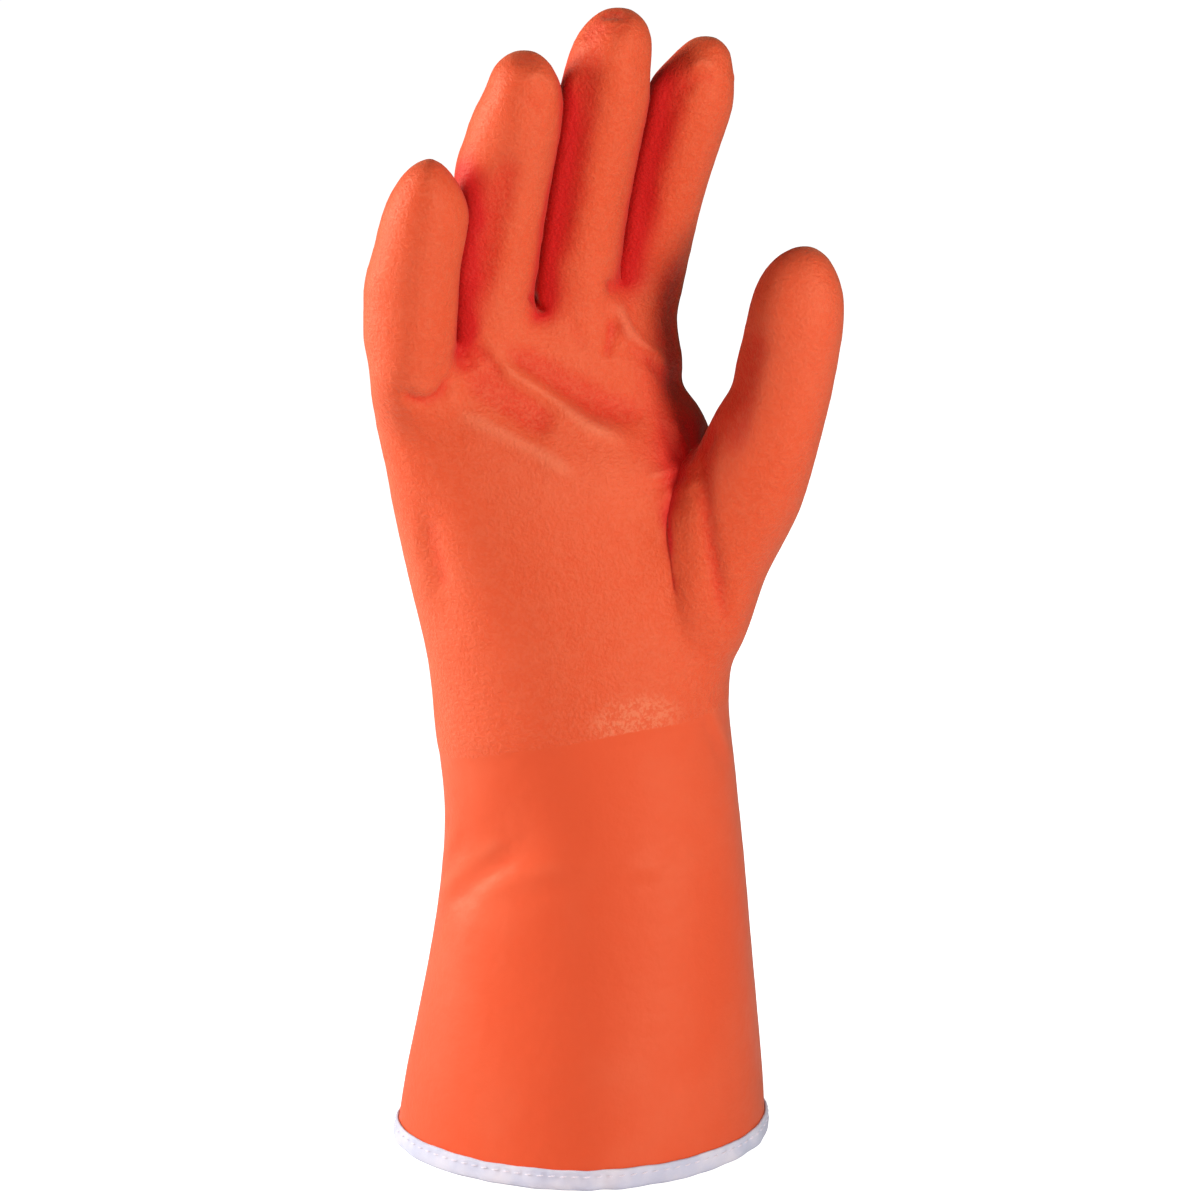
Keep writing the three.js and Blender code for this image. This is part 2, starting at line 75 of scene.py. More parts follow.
FOLDS = (
    Fold(
        name="long ridge of the palm", reach=2.0, rise=1.25,
        path=((478, 352), (505, 369), (530, 384), (556, 401), (587, 425), (628, 441)),
    ),
    Fold(
        name="valley above the long ridge", reach=3.8, rise=-1.5,
        path=((500, 350), (535, 365), (568, 386), (606, 406), (655, 418)),
    ),
    Fold(
        name="crease at the start of the long ridge", reach=1.3, rise=-1.9,
        path=((474, 346), (487, 358), (503, 376)),
    ),
    Fold(
        name="valley below the long ridge", reach=4.4, rise=-1.6,
        path=((466, 372), (492, 388), (522, 408), (556, 430)),
    ),
    Fold(
        name="short ridge below it", reach=2.6, rise=0.9,
        path=((450, 408), (474, 420), (500, 432), (532, 448), (580, 480)),
    ),
    Fold(
        name="crease under the little finger", reach=1.5, rise=-1.4,
        path=((402, 390), (412, 399), (428, 402), (441, 394), (453, 376)),
    ),
    Fold(name="cushion above that crease", reach=3.2, rise=0.45, path=((406, 378), (420, 387), (438, 380))),
    Fold(name="swell between little finger and palm", reach=1.8, rise=0.5, path=((456, 384), (452, 402))),
    # Its depth also paints shade beside the thumb's crotch
    Fold(
        name="hollow beside the index finger's cushion", reach=5.5, rise=-1.3,
        path=((684, 250), (677, 290), (673, 330), (674, 362), (684, 390), (702, 414)),
    ),
    # Its depth also paints shade over the middle fingertip
    Fold(
        name="hollow round the dimple of the middle fingertip", reach=3.4, rise=-0.9,
        path=((580, 44), (590, 27), (612, 18), (634, 27)),
    ),
    Fold(
        name="edge of the index finger's cushion", reach=1.5, rise=1.1, lap=0.6,
        path=((617, 316), (626, 333), (638, 346), (655, 356), (668, 372)),
    ),
    Fold(
        name="crease beside the middle finger's root", reach=1.3, rise=-1.1,
        path=((616, 318), (611, 338), (606, 360)),
    ),
    Fold(
        name="pinch of the web between ring and middle finger", reach=0.9, rise=-1.5,
        path=((531, 293), (533, 303), (545, 313)),
    ),
    Fold(name="lip of that pinch", reach=1.0, rise=1.0, path=((528, 300), (536, 311), (548, 318))),
    Fold(
        name="pinch of the web between middle and index finger", reach=1.4, rise=-1.3,
        path=((611, 279), (612, 288), (618, 293)),
    ),
    Fold(
        name="upright ridge beside the thumb", reach=1.5, rise=1.0, lap=0.7,
        path=((668, 418), (675, 436), (683, 462)),
    ),
    Fold(
        name="level ridge beside the thumb", reach=1.6, rise=0.8, lap=0.6,
        path=((646, 482), (668, 476), (694, 466)),
    ),
    Fold(
        name="small ridge under it", reach=1.6, rise=0.35, lap=0.4,
        path=((660, 500), (680, 494), (698, 486)),
    ),
    Fold(
        name="valley down the thumb's root", reach=2.2, rise=-1.1,
        path=((706, 432), (702, 470), (706, 520), (716, 575), (729, 632)),
    ),
    Fold(
        name="crease in the crotch of the thumb", reach=1.2, rise=-0.9,
        path=((712, 424), (708, 438), (700, 456)),
    ),
    Fold(
        name="dent of the outer edge", reach=2.6, rise=-0.7, lap=0.5,
        path=((421, 515), (428, 550), (440, 598)),
    ),
    Fold(
        name="first wrinkle of the outer edge", reach=0.6, rise=-0.25, lap=0.5,
        path=((403, 421), (410, 428), (418, 433)),
    ),
    Fold(
        name="second wrinkle of the outer edge", reach=0.6, rise=-0.3, lap=0.5,
        path=((402, 429), (409, 436), (418, 443)),
    ),
    Fold(
        name="third wrinkle of the outer edge", reach=0.6, rise=-0.3, lap=0.5,
        path=((403, 439), (409, 445), (417, 452)),
    ),
    Fold(
        name="fourth wrinkle of the outer edge", reach=0.6, rise=-0.2, lap=0.5,
        path=((404, 449), (411, 455), (419, 459)),
    ),
    Fold(
        name="long fold of the cuff", reach=3.2, rise=0.5, lap=0.9,
        path=((438, 902), (456, 884), (480, 864), (512, 842)),
    ),
    Fold(
        name="second fold of the cuff", reach=2.2, rise=0.35, lap=0.5,
        path=((441, 868), (452, 846), (462, 822)),
    ),
    Fold(
        name="faint fold of the cuff", reach=3.4, rise=0.35, lap=0.5,
        path=((470, 905), (520, 882), (575, 872)),
    ),
    Fold(
        name="faint fold in the middle of the cuff", reach=2.2, rise=0.22, lap=0.5,
        path=((612, 882), (634, 874), (662, 876)),
    ),
    Fold(
        name="pull line under the grip line", reach=1.6, rise=0.4, lap=0.5,
        path=((704, 700), (716, 730), (733, 768)),
    ),
    Fold(
        name="hollow under the web of little and ring finger", reach=2.4, rise=-1.2,
        path=((462, 344), (466, 358), (471, 372)),
    ),
    # These four hollows also paint shade down the left of the ring, middle and index finger and the thumb
    Fold(
        name="hollow down the left of the ring finger", reach=3.8, rise=-1.3,
        path=((512, 150), (502, 195), (490, 240), (478, 300)),
    ),
    Fold(
        name="hollow down the left of the middle finger", reach=4.0, rise=-1.3,
        path=((596, 34), (585, 90), (573, 150), (562, 215), (552, 265)),
    ),
    Fold(
        name="hollow down the left of the index finger", reach=4.0, rise=-1.3,
        path=((680, 74), (660, 125), (646, 180), (635, 240)),
    ),
    Fold(
        name="hollow down the left of the thumb", reach=4.4, rise=-1.3,
        path=((754, 320), (745, 365), (736, 410), (727, 460)),
    ),
    Fold(
        name="ridge from the web of middle and index finger", reach=1.6, rise=0.8,
        path=((618, 300), (622, 325), (628, 350)),
    ),
    Fold(
        name="crease between the roots of middle and ring finger", reach=1.8, rise=-0.5,
        path=((566, 318), (578, 336), (586, 352)),
    ),
    Fold(
        name="dimple of the middle fingertip", reach=1.5, rise=-1.3,
        path=((600, 14), (612, 10), (622, 15)),
    ),
    Fold(name="lip of that dimple", reach=1.2, rise=0.7, path=((598, 22), (612, 19), (625, 24))),
    Fold(
        name="pad of the ring fingertip", reach=1.5, rise=0.5,
        path=((524, 82), (538, 74), (550, 82), (553, 98)),
    ),
    Fold(
        name="crease across the ring finger's pad", reach=1.6, rise=-0.5,
        path=((514, 96), (530, 103), (548, 112)),
    ),
    Fold(name="dent of the ring fingertip", reach=1.6, rise=-0.6, path=((514, 62), (526, 57), (540, 63))),
    Fold(
        name="crease across the index fingertip", reach=1.9, rise=-0.7,
        path=((678, 94), (692, 82), (707, 77), (719, 84)),
    ),
    Fold(name="ridge above it", reach=1.7, rise=0.6, path=((688, 68), (703, 62), (717, 69))),
)

# Depth in mm to which folds are pressed in fully, and how much more of the wall the deepest ones may use
SHALLOW_PRESS = 1.15
PRESS_ROOM = 0.35

# Shares of a fold's length, from either end, between which it grows to its full height
FOLD_ENDS = (-0.08, 0.22)

# Where a lapped fold rises on the left of its path and dips on the right, as shares of its reach
LAP_RISE = 0.55
LAP_DIP = 0.95

# Shifts of the outline, in pixels of the picture, that bring the rounded skin back to it.
SHIFTS = (
    {"name": "tip of the little finger", "at": (432, 175), "reach": 42, "shift": (0, -4)},
    {"name": "meeting of little and ring finger", "at": (456, 172), "reach": 34, "shift": (-8, 0)},
    {"name": "gap of little and ring finger", "at": (460, 260), "reach": 40, "shift": (-4, 0)},
    {"name": "upper left of the ring finger", "at": (474, 86), "reach": 24, "shift": (6, 0)},
    {"name": "outer side of the little finger", "at": (365, 285), "reach": 26, "shift": (-4, 0)},
    {"name": "outer side of the little finger's root", "at": (358, 368), "reach": 30, "shift": (7, 0)},
    {"name": "outer edge of the palm", "at": (380, 460), "reach": 40, "shift": (4, 0)},
    {"name": "outer edge of the wrist", "at": (420, 665), "reach": 65, "shift": (4, 0)},
    {"name": "right of the middle fingertip", "at": (654, 66), "reach": 24, "shift": (-8, 0)},
    {"name": "left of the index fingertip", "at": (672, 66), "reach": 22, "shift": (8, 0)},
    {"name": "right of the index fingertip", "at": (734, 70), "reach": 26, "shift": (-3, 0)},
    {"name": "palm side of the thumb's crotch", "at": (688, 386), "reach": 20, "shift": (-8, 0)},
    {"name": "thumb side of the thumb's crotch", "at": (724, 386), "reach": 20, "shift": (5, 0)},
    {"name": "tip of the thumb", "at": (806, 254), "reach": 26, "shift": (2, -4)},
    {"name": "outer side of the thumb's root", "at": (772, 570), "reach": 52, "shift": (-7, 0)},
)

# Broad swells of the palm side. at and reach in pixels of the picture, rise in mm.
SWELLS = (
    {"name": "ball beside the thumb's root", "at": (676, 528), "reach": (26, 62), "rise": 3.8},
    {"name": "foot of that ball", "at": (690, 606), "reach": (16, 34), "rise": 1.2},
    {"name": "cushion of the little finger", "at": (415, 345), "reach": (26, 34), "rise": 0.5},
)

# Places that are rounded more than the rest. centre and reach in mm, passes of relaxing.
SOFT_PLACES = (
    {"name": "root of the little finger", "centre": (-45, -24, 205), "reach": 17, "passes": 140},
    {"name": "outer side of the little finger", "centre": (-57, -28, 218), "reach": 22, "passes": 80},
    {"name": "foot of the thumb", "centre": (28, -8, 118), "reach": 20, "passes": 120},
    {"name": "roots of the middle fingers", "centre": (-16, -16, 216), "reach": 20, "passes": 90},
    {"name": "root of the index finger", "centre": (12, -4, 220), "reach": 16, "passes": 80},
    {"name": "side of the thumb's root", "centre": (36, -14, 165), "reach": 18, "passes": 60},
)


class GLOVE_PG_shell(bpy.types.PropertyGroup):
    """Sizes and colours of the vinyl skin."""

    mesh_size: FloatProperty(
        name="Mesh size",
        description="Edge length of the skin's mesh",
        default=0.0011,
        min=0.0008,
        unit="LENGTH",
    )
    inner_mesh_size: FloatProperty(
        name="Inner mesh size",
        description="Edge length of the inner wall's mesh",
        default=0.0026,
        min=0.0015,
        unit="LENGTH",
    )
    thinning: FloatProperty(
        name="Thinning",
        description="How far the skin is drawn in while it is meshed, to keep the stalls apart",
        default=0.0009,
        unit="LENGTH",
    )
    relaxing: IntProperty(name="Relaxing", description="Passes that round the whole skin", default=26, min=0)
    swelling: FloatProperty(
        name="Swelling",
        description="Thickness that relaxing takes off, put back",
        default=0.0002,
        unit="LENGTH",
    )
    wall: FloatProperty(name="Wall", description="Thickness of the vinyl", default=0.0017, unit="LENGTH")
    edge_height: FloatProperty(
        name="Edge height",
        description="Height of the skin's edge inside the tape",
        default=0.0013,
        unit="LENGTH",
    )
    vinyl: FloatVectorProperty(
        name="Vinyl",
        description="Colour of the vinyl",
        subtype="COLOR",
        size=3,
        default=(0.70, 0.088, 0.031),
    )
    vinyl_pale: FloatVectorProperty(
        name="Pale vinyl",
        description="Colour where it is stretched or grainy",
        subtype="COLOR",
        size=3,
        default=(0.72, 0.145, 0.068),
    )
    # Painted shade: the deep red laid into the creases and between the fingers, where shade falls
    vinyl_painted_shade: FloatVectorProperty(
        name="Deep vinyl",
        description="Colour in the creases and between the fingers",
        subtype="COLOR",
        size=3,
        default=(0.60, 0.010, 0.014),
    )


class GLOVE_PG_tape(bpy.types.PropertyGroup):
    """Sizes and colours of the hem tape and its stitches."""

    height: FloatProperty(
        name="Height",
        description="Height of the folded tape",
        default=0.0056,
        unit="LENGTH",
    )
    thickness: FloatProperty(
        name="Thickness",
        description="Thickness of the tape",
        default=0.0009,
        unit="LENGTH",
    )
    stitch_height: FloatProperty(
        name="Stitch height", description="Height of the row of stitches", default=0.0040, unit="LENGTH"
    )
    stitch_pitch: FloatProperty(
        name="Stitch pitch", description="Length of one stitch and its gap", default=0.0030, unit="LENGTH"
    )
    thread: FloatProperty(
        name="Thread",
        description="Diameter of the thread",
        default=0.00042,
        unit="LENGTH",
    )
    cloth: FloatVectorProperty(
        name="Cloth",
        description="Colour of the tape",
        subtype="COLOR",
        size=3,
        default=(0.53, 0.58, 0.74),
    )
    thread_colour: FloatVectorProperty(
        name="Thread colour",
        description="Colour of the thread",
        subtype="COLOR",
        size=3,
        default=(0.80, 0.79, 0.90),
    )


class GLOVE_PG_stage(bpy.types.PropertyGroup):
    """Floor and lights."""

    floor: FloatVectorProperty(
        name="Floor",
        description="Colour of the floor",
        subtype="COLOR",
        size=3,
        default=(0.60, 0.60, 0.61),
    )
    left_light: FloatProperty(
        name="Left light", description="Power of the left softbox", default=16.0, unit="POWER"
    )
    right_light: FloatProperty(
        name="Right light", description="Power of the right softbox", default=8.8, unit="POWER"
    )
    front_light: FloatProperty(
        name="Front light", description="Power of the front softbox", default=5.2, unit="POWER"
    )
    surround: FloatProperty(name="Surround", description="Strength of the pale surround", default=0.03)


def select_only(piece):
    """Makes one piece the whole selection."""
    bpy.ops.object.select_all(action="DESELECT")
    piece.hide_set(False)
    piece.select_set(True)
    bpy.context.view_layer.objects.active = piece


def apply_modifiers(piece):
    """Applies all that the piece still carries, in order."""
    select_only(piece)
    for modifier in list(piece.modifiers):
        bpy.ops.object.modifier_apply(modifier=modifier.name)


def new_piece(name, data):
    """A new object of the scene, at the origin."""
    piece = bpy.data.objects.new(name, data)
    bpy.context.scene.collection.objects.link(piece)
    return piece


def places_of(mesh):
    """The vertices' places, a row for each."""
    flat = np.empty(len(mesh.vertices) * 3, np.float32)
    mesh.vertices.foreach_get("co", flat)
    return flat.reshape(-1, 3).astype(float)


def put_places(mesh, places):
    """Moves the vertices to new places."""
    mesh.vertices.foreach_set("co", places.astype(np.float32).ravel())
    mesh.update()


def normals_of(mesh):
    """The vertices' normals, a row for each."""
    flat = np.empty(len(mesh.vertices) * 3, np.float32)
    mesh.vertices.foreach_get("normal", flat)
    return flat.reshape(-1, 3).astype(float)


def edges_of(mesh):
    """The edges' two vertices, a row for each."""
    flat = np.empty(len(mesh.edges) * 2, np.int32)
    mesh.edges.foreach_get("vertices", flat)
    return flat.reshape(-1, 2)


def float_attribute(mesh, name, values):
    """Keeps one number a vertex with the mesh, for the materials."""
    layer = mesh.attributes.new(name, "FLOAT", "POINT")
    layer.data.foreach_set("value", values.astype(np.float32))


def ease(value, low, high):
    """0 below low, 1 above high, smooth between."""
    share = np.clip((value - low) / (high - low), 0.0, 1.0)
    return share * share * (3.0 - 2.0 * share)


def neighbour_mean(values, edges):
    """Mean of each vertex's neighbours, for one column of values or more."""
    near, far = edges[:, 0], edges[:, 1]
    count = np.maximum(np.bincount(edges.ravel(), minlength=len(values)), 1).astype(float)
    table = values.reshape(len(count), -1)
    total = np.empty_like(table)
    for column in range(table.shape[1]):
        total[:, column] = np.bincount(near, table[far, column], len(count))
        total[:, column] += np.bincount(far, table[near, column], len(count))
    return (total / count[:, None]).reshape(values.shape)


def relax(values, edges, passes, weight=None):
    """Draws each vertex's place or value half way to the mean of its neighbours, pass by pass."""
    pull = 0.5 if weight is None else 0.5 * weight[:, None]
    for _ in range(passes):
        values = values + pull * (neighbour_mean(values, edges) - values)
    return values


def picture_points(places):
    """Where each place falls in the picture, in its pixels, and how many mm a pixel spans there."""
    back = (CAMERA_PLACE - CAMERA_TARGET).normalized()
    across = Vector((0, 0, 1)).cross(back).normalized()
    up = back.cross(across)
    seen = places - np.array(CAMERA_PLACE)
    depth = -(seen @ np.array(back))
    focal = IMAGE_SIZE / 2 / math.tan(CAMERA_ANGLE / 2)
    x = IMAGE_SIZE / 2 + focal * (seen @ np.array(across)) / depth
    y = IMAGE_SIZE / 2 - focal * (seen @ np.array(up)) / depth
    return np.column_stack((x, y)), depth / focal / MM


def distance_to_path(points, path):
    """Distance from a path of the picture, its side (1 or -1), and the share of the path's length."""
    path = np.array(path, float)
    lengths = np.linalg.norm(np.diff(path, axis=0), axis=1)
    starts = np.concatenate(([0.0], np.cumsum(lengths)))
    best = np.full(len(points), 1e9)
    side = np.zeros(len(points))
    share = np.zeros(len(points))
    for index, length in enumerate(lengths):
        along = (path[index + 1] - path[index]) / length
        away = points - path[index]
        run = np.clip(away @ along, 0.0, length)
        gap = away - run[:, None] * along
        distance = np.linalg.norm(gap, axis=1)
        nearer = distance < best
        best = np.where(nearer, distance, best)
        turn = along[1] * away[:, 0] - along[0] * away[:, 1]
        side = np.where(nearer, np.sign(turn), side)
        share = np.where(nearer, (starts[index] + run) / starts[-1], share)
    return best, side, share


def tree_of(mesh):
    """The mesh, ready for casting rays at."""
    return BVHTree.FromPolygons(places_of(mesh).tolist(), [list(face.vertices) for face in mesh.polygons])


def close_gaps(mesh, above=0.198, widest=0.005, left=0.00025, passes=9):
    """Swells the sides of neighbouring fingers until they almost touch, as they do in the picture.

    above: height where the fingers part. widest: widest gap that closes. left: gap that stays.
    passes: how often the swelling is evened out.
    """
    places, normals = places_of(mesh), normals_of(mesh)
    tree = tree_of(mesh)
    push = np.zeros(len(places))
    for index in np.flatnonzero(places[:, 2] > above):
        normal = Vector(normals[index])
        start = Vector(places[index]) + normal * 1e-5
        distance = tree.ray_cast(start, normal, widest)[3]
        if distance is not None:
            push[index] = max(0.0, (distance - left) / 2) * (1 - distance / widest) ** 0.5
    push = relax(push, edges_of(mesh), passes)
    put_places(mesh, places + normals * push[:, None])


def shift_outline(mesh):
    """Moves the skin across the picture where its outline has to follow the photograph more closely."""
    places = places_of(mesh)
    points, mm_per_pixel = picture_points(places)
    shift = np.zeros_like(points)
    for row in SHIFTS:
        away = points - np.array(row["at"], float)
        share = np.exp(-(away * away).sum(1) / row["reach"] ** 2)
        shift += share[:, None] * np.array(row["shift"], float)
    shift *= mm_per_pixel[:, None] * MM
    places[:, 0] += shift[:, 0]
    places[:, 2] -= shift[:, 1]
    put_places(mesh, places)


def facing_share(places, normals):
    """1 where the skin is on the palm side, as the picture shows it, fading to 0 at its outline."""
    to_camera = np.array(CAMERA_PLACE) - places
    to_camera /= np.linalg.norm(to_camera, axis=1)[:, None]
    return ease((normals * to_camera).sum(1), 0.05, 0.4)


def raise_swells(mesh):
    """Raises the broad swells of the palm side."""
    places, normals = places_of(mesh), normals_of(mesh)
    points = picture_points(places)[0]
    push = np.zeros(len(places))
    for swell in SWELLS:
        away = (points - np.array(swell["at"], float)) / np.array(swell["reach"], float)
        push += swell["rise"] * np.exp(-(away * away).sum(1)) * MM
    push *= facing_share(places, normals)
    put_places(mesh, places + normals * push[:, None])


def press_folds(mesh):
    """Presses the folds of the palm side into the skin, and keeps each vertex's fold in mm, from which the
    vinyl paints shade into the valleys and highlight onto the ridges.
    """
    places, normals = places_of(mesh), normals_of(mesh)
    points, mm_per_pixel = picture_points(places)
    facing = facing_share(places, normals)
    push = np.zeros(len(places))
    for fold in FOLDS:
        margin = fold.reach * 16
        path = np.array(fold.path, float)
        low, high = path.min(0) - margin, path.max(0) + margin
        near = np.flatnonzero((facing > 0) & ((points > low) & (points < high)).all(1))
        distance, side, share = distance_to_path(points[near], path)
        distance = distance * mm_per_pixel[near] / fold.reach
        fade = ease(np.minimum(share, 1 - share), *FOLD_ENDS)
        rise = np.exp(-distance * distance)
        if fold.lap:
            signed = distance * side
            rise = np.exp(-((signed - LAP_RISE) ** 2)) - fold.lap * np.exp(-((signed + LAP_DIP) ** 2))
        push[near] += fold.rise * rise * fade * facing[near] * MM
    float_attribute(mesh, "fold", push / MM)
    deep = np.maximum(-push / MM - SHALLOW_PRESS, 0.0)
    limited = SHALLOW_PRESS + PRESS_ROOM * (1 - np.exp(-deep / PRESS_ROOM))
    push = np.where(deep > 0, -limited * MM, push)
    put_places(mesh, places + normals * push[:, None])


def grip_line_height(places):
    """Height of the second dip's edge, in mm, at each place: lower at the front, higher at the back."""
    x, y = places[:, 0] / MM, places[:, 1] / MM
    front = 109.6 + 0.295 * (x + 36) - 0.0022 * (x + 36) ** 2 + 0.25 * np.sin(x * 0.23)
    back = 118.5 + 0.02 * x + 0.8 * np.sin(x * 0.11)
    return front + (back - front) * ease(y, -4, 14)


def separate_outer_skin(mesh):
    """Keeps the outer faces of a hollow shell that stands on a flat rim."""
    model = bmesh.new()
    model.from_mesh(mesh)
    bmesh.ops.remove_doubles(model, verts=model.verts, dist=2e-6)
    model.faces.ensure_lookup_table()
    lowest = min(vertex.co.z for vertex in model.verts)
    rim = [face for face in model.faces if all(vertex.co.z < lowest + 5e-5 for vertex in face.verts)]
    bmesh.ops.delete(model, geom=rim, context="FACES_ONLY")
    first = max(model.verts, key=lambda vertex: vertex.co.x)
    kept, front = {first}, [first]
    while front:
        vertex = front.pop()
        for edge in vertex.link_edges:
            other = edge.other_vert(vertex)
            if edge.link_faces and other not in kept:
                kept.add(other)
                front.append(other)
    bmesh.ops.delete(model, geom=[vertex for vertex in model.verts if vertex not in kept], context="VERTS")
    bmesh.ops.delete(model, geom=[edge for edge in model.edges if not edge.link_faces], context="EDGES")
    model.to_mesh(mesh)
    model.free()


def close_below(piece, drop=0.014, flare=(1.028, 1.046)):
    """Draws the open edge down and out along the flare, and closes it."""
    model = bmesh.new()
    model.from_mesh(piece.data)
    rim = [edge for edge in model.edges if edge.is_boundary]
    drawn = bmesh.ops.extrude_edge_only(model, edges=rim)["geom"]
    corners = [item for item in drawn if isinstance(item, bmesh.types.BMVert)]
    middle = sum((vertex.co for vertex in corners), Vector()) / len(corners)
    for vertex in corners:
        vertex.co.x = middle.x + (vertex.co.x - middle.x) * flare[0]
        vertex.co.y = middle.y + (vertex.co.y - middle.y) * flare[1]
        vertex.co.z -= drop
    bmesh.ops.holes_fill(model, edges=[edge for edge in model.edges if edge.is_boundary], sides=0)
    bmesh.ops.triangulate(model, faces=[face for face in model.faces if len(face.verts) > 4])
    bmesh.ops.recalc_face_normals(model, faces=model.faces)
    model.to_mesh(piece.data)
    model.free()


def remesh(piece, size):
    """Gives the skin an even mesh."""
    modifier = piece.modifiers.new("Mesh", "REMESH")
    modifier.mode = "VOXEL"
    modifier.voxel_size = size
    modifier.use_smooth_shade = True
    apply_modifiers(piece)


def draw(piece, amount):
    """Moves the skin outwards along its normals, or inwards where amount is negative."""
    modifier = piece.modifiers.new("Draw", "DISPLACE")
    modifier.strength = amount
    modifier.mid_level = 0.0
    modifier.direction = "NORMAL"
    apply_modifiers(piece)


def trim_below(piece, height):
    """Cuts off all that is under a height, and leaves the edge open."""
    select_only(piece)
    bpy.ops.object.mode_set(mode="EDIT")
    bpy.ops.mesh.select_all(action="SELECT")
    bpy.ops.mesh.bisect(plane_co=(0, 0, height), plane_no=(0, 0, 1), clear_inner=True, use_fill=False)
    bpy.ops.object.mode_set(mode="OBJECT")


def rounded_skin(name, mesh_size, settings, depth=0.0):
    """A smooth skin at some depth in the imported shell, closed at an end drawn out below its edge."""
    piece = new_piece(name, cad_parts["glove_shell"].data.copy())
    separate_outer_skin(piece.data)
    close_below(piece)
    draw(piece, -settings.thinning - depth)
    remesh(piece, mesh_size)
    places = places_of(piece.data)
    edges = edges_of(piece.data)
    shares = (settings.mesh_size / mesh_size) ** 2
    places = relax(places, edges, max(2, round(settings.relaxing * shares)))
    for spot in SOFT_PLACES:
        away = np.linalg.norm(places - np.array(spot["centre"]) * MM, axis=1) / (spot["reach"] * MM)
        places = relax(places, edges, max(2, round(spot["passes"] * shares)), 1 - ease(away, 0.35, 1.0))
    put_places(piece.data, places)
    draw(piece, settings.thinning + settings.swelling)
    shift_outline(piece.data)
    return piece


def add_inner_wall(piece, settings):
    """Joins a plain inner skin to the outer one, a wall's thickness inside it."""
    inner = rounded_skin("inner_wall", settings.inner_mesh_size, settings, settings.wall)
    trim_below(inner, settings.edge_height)
    inner.data.flip_normals()
    inner.data.materials.clear()
    for material in piece.data.materials:
        inner.data.materials.append(material)
    inner.data.polygons.foreach_set("material_index", np.ones(len(inner.data.polygons), np.int32))
    bpy.ops.object.select_all(action="DESELECT")
    inner.select_set(True)
    piece.select_set(True)
    bpy.context.view_layer.objects.active = piece
    bpy.ops.object.join()
    bpy.ops.object.mode_set(mode="EDIT")
    bpy.ops.mesh.select_all(action="DESELECT")
    bpy.ops.mesh.select_mode(type="EDGE")
    bpy.ops.mesh.select_non_manifold(
        extend=False,
        use_boundary=True,
        use_wire=False,
        use_multi_face=False,
        use_non_contiguous=False,
        use_verts=False,
    )
    bpy.ops.mesh.bridge_edge_loops()
    bpy.ops.mesh.quads_convert_to_tris(quad_method="BEAUTY", ngon_method="BEAUTY")
    bpy.ops.object.mode_set(mode="OBJECT")


def mark_skin(mesh, passes=24):
    """Keeps what the vinyl's colour follows: height over the grip line, and depth of the creases for the
    painted shade, in mm.
    """
    places = places_of(mesh)
    float_attribute(mesh, "over_grip_line", places[:, 2] / MM - grip_line_height(places))
    edges = edges_of(mesh)
    wide = relax(places, edges, passes)
    hollow = ((wide - places) * normals_of(mesh)).sum(1) / MM
    float_attribute(mesh, "hollow", neighbour_mean(hollow, edges))


def even_directions(count):
    """Directions spread evenly over the half sphere about +Z, closer together near its pole."""
    index = np.arange(count) + 0.5
    turn = math.pi * (1 + math.sqrt(5)) * index
    flat = np.sqrt(index / count)
    return np.column_stack((flat * np.cos(turn), flat * np.sin(turn), np.sqrt(1 - flat * flat)))


def mark_shelter(mesh, rays=28, every=13, reach=0.06, passes=30):
    """Keeps how far the glove itself closes in each vertex: 0 in the open, 1 deep between two fingers, which
    the vinyl turns into painted shade.

    Rays are cast from one vertex in every few, and what they find is spread over those between.
    """
    places, normals = places_of(mesh), normals_of(mesh)
    edges = edges_of(mesh)
    tree = tree_of(mesh)
    directions = even_directions(rays)
    closed, known = np.zeros(len(places)), np.zeros(len(places))
    for index in range(0, len(places), every):
        normal = Vector(normals[index])
        turn = normal.to_track_quat("Z", "Y").to_matrix()
        start = Vector(places[index]) + normal * 0.0004
        hits = 0.0
        for direction in directions:
            distance = tree.ray_cast(start, turn @ Vector(direction), reach)[3]
            if distance is not None:
                hits += 1 - 0.6 * distance / reach
        closed[index] = hits / rays
        known[index] = 1.0
    closed = relax(closed, edges, passes)
    known = relax(known, edges, passes)
    float_attribute(mesh, "shelter_shade", closed / np.maximum(known, 1e-6))


def step_at_grip_line(mesh, rise=0.0001):
    """Lifts the second dip off the cuff."""
    places = places_of(mesh)
    over = places[:, 2] / MM - grip_line_height(places)
    lift = ease(over, -0.6, 0.6) * np.exp(-np.maximum(over, 0) / 14)
    put_places(mesh, places + normals_of(mesh) * (rise * lift)[:, None])


# Materials

# Painted shade in the folds' valleys and painted highlight on their ridges, then the colour of the dusty patch
VALLEY_PAINTED_SHADE = (0.66, 0.036, 0.016)
RIDGE_PAINTED_HIGHLIGHT = (0.74, 0.185, 0.092)
DUST_COLOUR = (0.86, 0.36, 0.20)

# The dusty patch: middle and half width along X in metres, middle and half height over the grip line in mm
PATCH_PLACE = 0.0085
PATCH_REACH = 0.0125
PATCH_HEIGHT = 3.0
PATCH_RISE = 7.5

# Threads of the tape, mm apart along it and across it
WARP_PITCH = 0.55
WEFT_PITCH = 0.5


def new_material(name):
    """A new material with its tree and its shader."""
    material = bpy.data.materials.new(name)
    material.use_nodes = True
    tree = material.node_tree
    shader = tree.nodes["Principled BSDF"]
    return material, tree, shader


def node(tree, kind, values=None, **settings):
    """A node with values on its sockets and settings of its own."""
    made = tree.nodes.new(kind)
    for key, value in settings.items():
        setattr(made, key, value)
    for key, value in (values or {}).items():
        made.inputs[key].default_value = value
    return made


def texture(tree, kind, place, values, **settings):
    """A texture node that reads a place."""
    made = node(tree, kind, values, **settings)
    tree.links.new(place, made.inputs["Vector"])
    return made


def attribute(tree, name):
    """A number that the mesh keeps for each vertex."""
    return node(tree, "ShaderNodeAttribute", attribute_name=name).outputs["Fac"]


